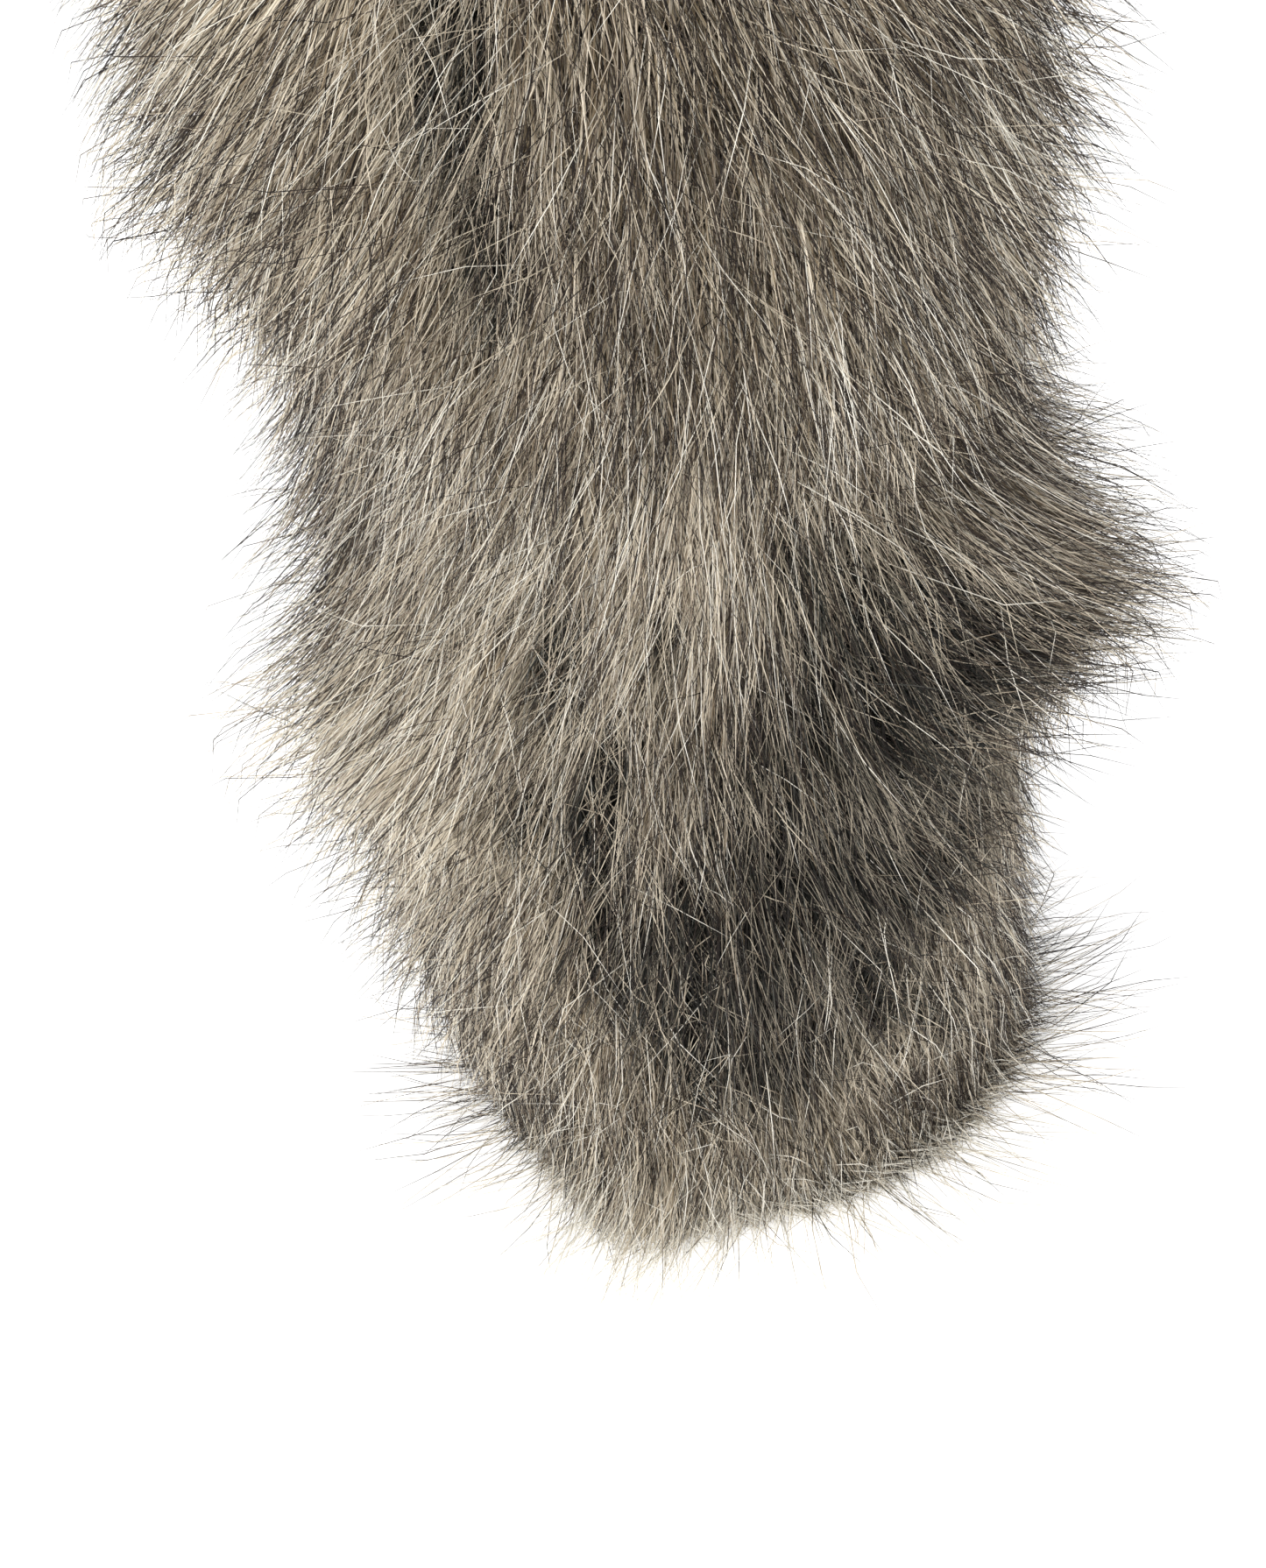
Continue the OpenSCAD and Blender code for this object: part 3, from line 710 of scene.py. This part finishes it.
def band_outline(inner, outer, low, high, rows=2):
    """Outline of a band: up its outer face and down its inner face, with rows of points on each."""
    up = np.linspace(low, high, rows)
    outer_face = np.stack([np.full(rows, outer), up], 1)
    inner_face = np.stack([np.full(rows, inner), up[::-1]], 1)
    return np.concatenate([outer_face, inner_face])


def cap_outline(inner, outer, centre, rows):
    """Outline of a round cap: from the rim of its outer face to the top, and back down its inner face."""
    rise = np.linspace(0, math.pi / 2, rows)
    out = np.stack([outer * np.cos(rise), centre + outer * np.sin(rise)], 1)
    back = np.stack([inner * np.cos(rise[::-1]), centre + inner * np.sin(rise[::-1])], 1)
    return np.concatenate([out, back])


def principled(name, colour, roughness, metallic=0.0, specular=0.5, sheen=0.0):
    """A material with its values set on the shader itself; returns it, its node tree and its shader."""
    made = bpy.data.materials.new(name)
    made.use_nodes = True
    shader = made.node_tree.nodes["Principled BSDF"]
    shader.inputs["Base Color"].default_value = (*colour, 1)
    shader.inputs["Roughness"].default_value = roughness
    shader.inputs["Metallic"].default_value = metallic
    shader.inputs["Specular IOR Level"].default_value = specular
    shader.inputs["Sheen Weight"].default_value = sheen
    shader.inputs["Sheen Roughness"].default_value = 0.4
    return made, made.node_tree, shader


def add_bump(tree, shader, height, strength, distance):
    """Gives the shader a bump from a height socket; distance is the relief in metres."""
    bump = node(tree, "ShaderNodeBump")
    bump.inputs["Strength"].default_value = strength
    bump.inputs["Distance"].default_value = distance
    tree.links.new(height, bump.inputs["Height"])
    tree.links.new(bump.outputs[0], shader.inputs["Normal"])


def ripple(tree, sockets, weights, period):
    """A wave from -1 to 1 across the cloth: the sine of the weighted sum of its two ways over the period."""
    u = math_node(tree, "MULTIPLY", sockets[0], weights[0] * TAU / period)
    v = math_node(tree, "MULTIPLY", sockets[1], weights[1] * TAU / period)
    return math_node(tree, "SINE", math_node(tree, "ADD", u, v))


def knit_material(name, dark, light, period, sheen=0.3):
    """Spacer knit: three waves at 60 degrees add up to a honeycomb of small dark eyes between pale ribs."""
    made, tree, shader = principled(name, light, 0.85, specular=0.2, sheen=sheen)
    ways = map_ways(tree, "cloth")
    waves = [ripple(tree, ways, (math.cos(t), math.sin(t)), period) for t in (0, math.pi / 3, -math.pi / 3)]
    total = math_node(tree, "ADD", math_node(tree, "ADD", waves[0], waves[1]), waves[2])
    level = math_node(tree, "MULTIPLY_ADD", total, 0.2, 0.5)
    grain = noise(tree, node(tree, "ShaderNodeTexCoord").outputs["Object"], 1800, 3)
    mixed = math_node(tree, "ADD", level, math_node(tree, "MULTIPLY", grain, 0.25))
    colours = ramp(tree, [(0.25, dark), (0.55, light), (1.0, tuple(1.5 * c for c in light))])
    tree.links.new(mixed, colours.inputs[0])
    tree.links.new(colours.outputs[0], shader.inputs["Base Color"])
    add_bump(tree, shader, mixed, 0.8, 0.0004)
    return made


def weave_material(name, dark, light, period, twill=1.0, sheen=0.2):
    """Woven cloth: one wave each way makes over-and-under cells, and a slanting wave adds the twill line."""
    made, tree, shader = principled(name, light, 0.8, specular=0.25, sheen=sheen)
    ways = map_ways(tree, "cloth")
    cells = math_node(tree, "MULTIPLY", ripple(tree, ways, (1, 0), period),
                      ripple(tree, ways, (0, 1), period))
    slant = math_node(tree, "MULTIPLY", ripple(tree, ways, (0.5, 0.5), period), twill)
    total = math_node(tree, "ADD", cells, slant)
    grain = noise(tree, node(tree, "ShaderNodeTexCoord").outputs["Object"], 2500)
    level = math_node(tree, "MULTIPLY_ADD", total, 0.22, 0.4)
    mixed = math_node(tree, "ADD", level, math_node(tree, "MULTIPLY", grain, 0.2))
    colours = ramp(tree, [(0.15, dark), (0.6, light), (1.0, tuple(1.35 * c for c in light))])
    tree.links.new(mixed, colours.inputs[0])
    tree.links.new(colours.outputs[0], shader.inputs["Base Color"])
    add_bump(tree, shader, mixed, 0.7, 0.0002)
    return made


def moulded_material(name, colour, roughness, grain_size, depth, specular=0.5, streak=(1, 1, 1),
                     metallic=0.0):
    """Moulded or drawn part: fine noise for the tool's texture, and broad noise that shifts the colour and
    the roughness a little, as handling does."""
    made, tree, shader = principled(name, colour, roughness, metallic, specular)
    place = node(tree, "ShaderNodeTexCoord").outputs["Object"]
    stretch = node(tree, "ShaderNodeMapping")
    stretch.inputs["Scale"].default_value = streak
    tree.links.new(place, stretch.inputs[0])
    fine = noise(tree, stretch.outputs[0], 1 / grain_size, 4)
    broad = noise(tree, place, 60, 5)
    mixed = math_node(tree, "ADD", math_node(tree, "MULTIPLY", fine, 0.5),
                      math_node(tree, "MULTIPLY", broad, 0.5))
    colours = ramp(tree, [(0.3, tuple(0.7 * c for c in colour)), (0.5, colour),
                          (0.75, tuple(1.6 * c + 0.004 for c in colour))])
    tree.links.new(mixed, colours.inputs[0])
    tree.links.new(colours.outputs[0], shader.inputs["Base Color"])
    rough = math_node(tree, "MULTIPLY_ADD", broad, 0.3, roughness - 0.15)
    tree.links.new(rough, shader.inputs["Roughness"])
    add_bump(tree, shader, fine, 0.5, depth)
    return made


def wires(name, paths, radius, material, body):
    """Closed four-sided wires along paths of equal point count: square rings across each path, capped."""
    count, steps = paths.shape[:2]
    tangent = unit(np.gradient(paths, axis=1))
    hint = unit(paths * np.array([1.0, 1.0, 0.0]) + np.array([0, 0, 1e-6]))
    across = unit(np.cross(tangent, hint))
    over = np.cross(across, tangent)
    spin = np.radians([0, 270, 180, 90])
    ring = paths[:, :, None] + radius * (across[:, :, None] * np.cos(spin)[:, None]
                                         + over[:, :, None] * np.sin(spin)[:, None])
    verts = ring.reshape(-1, 3)
    k = np.arange(steps - 1)[:, None] * 4
    j = np.arange(4)[None, :]
    a, b = k + j, k + (j + 1) % 4
    last = (steps - 1) * 4
    caps = np.array([[2, 1, 0], [3, 2, 0], [last, last + 1, last + 2], [last, last + 2, last + 3]])
    faces = np.concatenate([np.stack([a, b, b + 4], -1).reshape(-1, 3),
                            np.stack([a, b + 4, a + 4], -1).reshape(-1, 3), caps])
    faces = (faces[None] + (np.arange(count) * steps * 4)[:, None, None]).reshape(-1, 3)
    obj = mesh_piece(name, verts, faces, material, body)
    return obj


def cage_cloth(material):
    """Acoustic mesh of the cage: straight wires up it, and rings that pass in and out of them in turn, so the
    radius of a ring is the mean plus a cosine of half the number of uprights times the side angle."""
    (_, _, low), (outer, _, high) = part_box("cage_mesh")
    wire = 0.20 * MM
    mean = outer - 0.42 * MM
    uprights = 78
    angle = TAU * np.arange(uprights) / uprights
    heights = np.array([low + wire, high - wire])
    upright = np.stack([np.outer(mean * np.cos(angle), [1, 1]), np.outer(mean * np.sin(angle), [1, 1]),
                        np.broadcast_to(heights, (uprights, 2))], -1)
    rings = 68
    steps = 2 * uprights + 1
    turn = np.linspace(0, TAU, steps)
    sign = np.where(np.arange(rings) % 2, 1, -1)[:, None]
    r = mean + 0.16 * MM * sign * np.cos(turn * uprights / 2)[None, :]
    z = np.linspace(low + 3 * wire, high - 3 * wire, rings)[:, None] * np.ones((1, steps))
    around = np.stack([r * np.cos(turn), r * np.sin(turn), z], -1)
    for name, paths in (("cage_mesh_uprights", upright), ("cage_mesh_rings", around)):
        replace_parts(wires(name, paths, wire, material, "cage"), "cage_mesh")


def nose_cloth(material):
    """Acoustic mesh of the nose: two families of arcs, each cut from the ball by evenly tilted flat planes,
    the second family a quarter turn from the first, with a short rim ring below."""
    (_, _, low), (outer, _, _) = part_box("nose_mesh")
    wire = 0.20 * MM
    steps = 41
    for name, quarter, lift in (("nose_mesh_warp", 0, 0.14 * MM), ("nose_mesh_weft", 1, -0.14 * MM)):
        tilt = np.radians(np.linspace(-84, 84, 43))[:, None]
        sweep = np.linspace(0, math.pi, steps)[None, :]
        r = outer - 2.5 * wire + lift
        x = r * np.sin(tilt) * np.ones_like(sweep)
        y = r * np.cos(tilt) * np.cos(sweep)
        z = DOME_Z + r * np.cos(tilt) * np.sin(sweep)
        path = np.stack([y, x, z] if quarter else [x, y, z], -1)
        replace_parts(wires(name, path, wire, material, "cage"), "nose_mesh")
    rim = revolved("nose_mesh_rim", band_outline(outer - 0.7 * MM, outer, low, DOME_Z + 0.6 * MM), 96,
                   material, "cage")
    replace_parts(rim, "nose_mesh")


def jacket_cloth():
    """Backing, lining, tapes, hem, elastic and label of the jacket."""
    knit = knit_material("spacer_knit", (0.004, 0.004, 0.0045), (0.040, 0.040, 0.042), 3.2 * MM)
    ground = weave_material("pile_ground_cloth", (0.003, 0.0035, 0.003), (0.016, 0.016, 0.014), 1.2 * MM)
    tape = weave_material("seam_tape", (0.003, 0.003, 0.003), (0.022, 0.022, 0.023), 1.0 * MM)
    hem = weave_material("hem_cloth", (0.006, 0.006, 0.006), (0.034, 0.034, 0.036), 0.8 * MM, twill=0.2)
    elastic = weave_material("woven_elastic", (0.010, 0.010, 0.010), (0.060, 0.060, 0.062), 1.4 * MM, twill=0)
    label = weave_material("label_cloth", (0.50, 0.49, 0.45), (0.70, 0.68, 0.63), 0.5 * MM, twill=0.5)
    thread = moulded_material("sewing_thread", (0.02, 0.02, 0.021), 0.7, 0.3 * MM, 0.00005)

    sewn = 0.35 * MM
    low = HEM_Z + 0.2 * MM
    back = revolved("fur_backing", band_outline(BACKING_R, BACKING_R + sewn, low, DOME_Z, 16), 120,
                    ground, "jacket")
    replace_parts(back, "fur_body")
    cap = revolved("fur_nose_backing", cap_outline(BACKING_R, BACKING_R + sewn, DOME_Z, 24), 96, ground,
                   "jacket")
    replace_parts(cap, "fur_nose")

    (_, _, low), (outer, _, high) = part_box("lining_tube")
    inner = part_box("hem_band")[1][0] - 3 * MM

    def quilt(a, r, z):
        """Shallow honeycomb relief on the inner face: three waves at 60 degrees, a tenth of a mm deep."""
        u, v = a * inner, z
        wave = TAU / (6.4 * MM)
        total = sum(np.cos(wave * (u * math.cos(t) + v * math.sin(t))) for t in (0, 1.0472, -1.0472))
        return np.where(r < inner + 0.5 * MM, 0.06 * MM * total + 0.1 * MM, 0)

    tube = revolved("lining_cloth", band_outline(inner, outer, low, high, 84), 160, knit, "jacket",
                    relief=quilt)
    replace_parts(tube, "lining_tube")
    nose = revolved("lining_nose_cloth", cap_outline(inner, outer, DOME_Z, 30), 120, knit, "jacket",
                    relief=quilt)
    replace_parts(nose, "lining_nose")

    (left, near, low), (right, far, high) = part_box("body_seam_tape")
    half = math.atan2((right - left) / 2, near)
    strip = revolved("body_seam_strip", band_outline(far - 0.38 * MM, far, low, high, 40), 12, tape, "jacket",
                     turn=(math.pi / 2 - half, math.pi / 2 + half))
    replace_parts(strip, "body_seam_tape")
    (_, _, low), (outer, _, high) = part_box("nose_seam_tape")
    strip = revolved("nose_seam_strip", band_outline(outer - 0.38 * MM, outer, low, high, 4), 120, tape,
                     "jacket")
    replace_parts(strip, "nose_seam_tape")

    (_, _, low), (outer, _, high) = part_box("hem_band")
    cloth = 0.55 * MM
    bend = np.linspace(0, math.pi, 9)
    middle_r, out_r, in_r = outer - 1.5 * MM, 1.42 * MM, 1.42 * MM - cloth
    bottom = low + 1.5 * MM
    u_out = np.stack([middle_r + out_r * np.cos(bend), bottom - out_r * np.sin(bend)], 1)
    u_in = np.stack([middle_r + in_r * np.cos(bend), bottom - in_r * np.sin(bend)], 1)[::-1]
    tops = np.linspace(high, bottom, 8)[:-1]
    u_path = np.concatenate([
        np.stack([np.full(7, middle_r + out_r), tops], 1), u_out,
        np.stack([np.full(7, middle_r - out_r), tops[::-1]], 1),
        np.stack([np.full(7, middle_r - in_r), tops], 1), u_in,
        np.stack([np.full(7, middle_r + in_r), tops[::-1]], 1)])

    def gather_ripple(a, _, z):
        """Small ripples where the elastic draws the hem in, strongest at its lower edge."""
        return 0.05 * MM * np.sin(64 * a + 2 * np.sin(5 * a)) * np.clip((high - z) / (high - low), 0, 1)

    band = revolved("hem_fold", u_path, 256, hem, "jacket", relief=gather_ripple)
    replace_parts(band, "hem_band")
    (_, _, low_e), (_, _, high_e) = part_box("hem_elastic")

    def elastic_ribs(_, r, z):
        """Ribs along the elastic, one each 1.1 mm of its width, raised the same way on both faces."""
        return 0.07 * MM * np.sin(TAU * z / (1.1 * MM)) * np.sign(r - middle_r)

    half_thick = 0.62 * MM
    flat_band = band_outline(middle_r - half_thick, middle_r + half_thick, low_e, high_e, 24)
    strip = revolved("hem_elastic_band", flat_band, 180, elastic, "jacket", relief=elastic_ribs)
    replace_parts(strip, "hem_elastic")

    (left, near, low), (right, far, high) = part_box("care_label")
    half = math.atan2((right - left) / 2, near)

    def label_curl(a, _, z):
        """Soft waves that stand off the lining most at the label's free lower edge."""
        return -0.05 * MM * (high - z) / (high - low) * (1 + np.sin(40 * a))

    strip = revolved("care_label_cloth", band_outline(far - 0.26 * MM, far - 0.04 * MM, low, high, 24), 24,
                     label, "jacket", turn=(math.pi / 2 - half, math.pi / 2 + half),
                     relief=label_curl)
    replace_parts(strip, "care_label")

    rows = (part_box("hem_band")[1][2] - 1.2 * MM, HEM_Z + 5.8 * MM)
    stitches("hem_stitches", middle_r - out_r, rows, thread)


def stitches(name, radius, rows, material):
    """Rows of sewing thread round the hem's inner face: short four-sided beads that rise a little out of the
    cloth, each along the arc between two needle holes."""
    pitch = 2.7 * MM
    count = int(TAU * radius / pitch)
    way = np.linspace(-0.5, 0.5, 5)[None, :]
    angle = TAU * (np.arange(count)[:, None] + 0.78 * way) / count
    r = radius - 0.05 * MM - 0.12 * MM * (1 - (2 * way) ** 2)
    paths = [np.stack([r * np.cos(angle), r * np.sin(angle), np.full(angle.shape, row)], -1) for row in rows]
    wires(name, np.concatenate(paths), 0.13 * MM, material, "jacket")


def moulded_parts():
    """Finishes of the CAD parts that keep their shape."""
    nylon = moulded_material("moulded_nylon", (0.018, 0.018, 0.019), 0.52, 0.5 * MM, 0.00006)
    rod = moulded_material("glass_fibre_rod", (0.075, 0.068, 0.055), 0.34, 0.6 * MM, 0.00003,
                           streak=(1, 1, 0.04))
    boot = moulded_material("boot_rubber", (0.010, 0.010, 0.010), 0.80, 0.35 * MM, 0.00004, specular=0.3)
    cradle = moulded_material("cradle_rubber", (0.016, 0.016, 0.017), 0.72, 0.4 * MM, 0.00004, specular=0.3)
    steel = moulded_material("screw_steel", (0.42, 0.42, 0.41), 0.34, 0.25 * MM, 0.00002, metallic=1.0)
    finishes = {
        nylon: ["rear_collar", "clamp_ring", "cage_rear_ring", "lower_hoop", "middle_hoop", "upper_hoop",
                "nose_ring", "nose_dome", "cradle_ring"],
        rod: ["cage_rods"],
        boot: ["mic_boot", "collar_gasket"],
        cradle: ["cradle_web"],
        steel: ["clamp_screws"],
    }
    for material, nodes in finishes.items():
        for name in nodes:
            part_object = bpy.data.objects[name]
            part_object.data.materials.clear()
            part_object.data.materials.append(material)
    mesh_wire = moulded_material("acoustic_mesh", (0.16, 0.16, 0.155), 0.42, 0.5 * MM, 0.00002)
    cage_cloth(mesh_wire)
    nose_cloth(mesh_wire)


camera()
studio()
jacket_cloth()
moulded_parts()
fur_pieces()
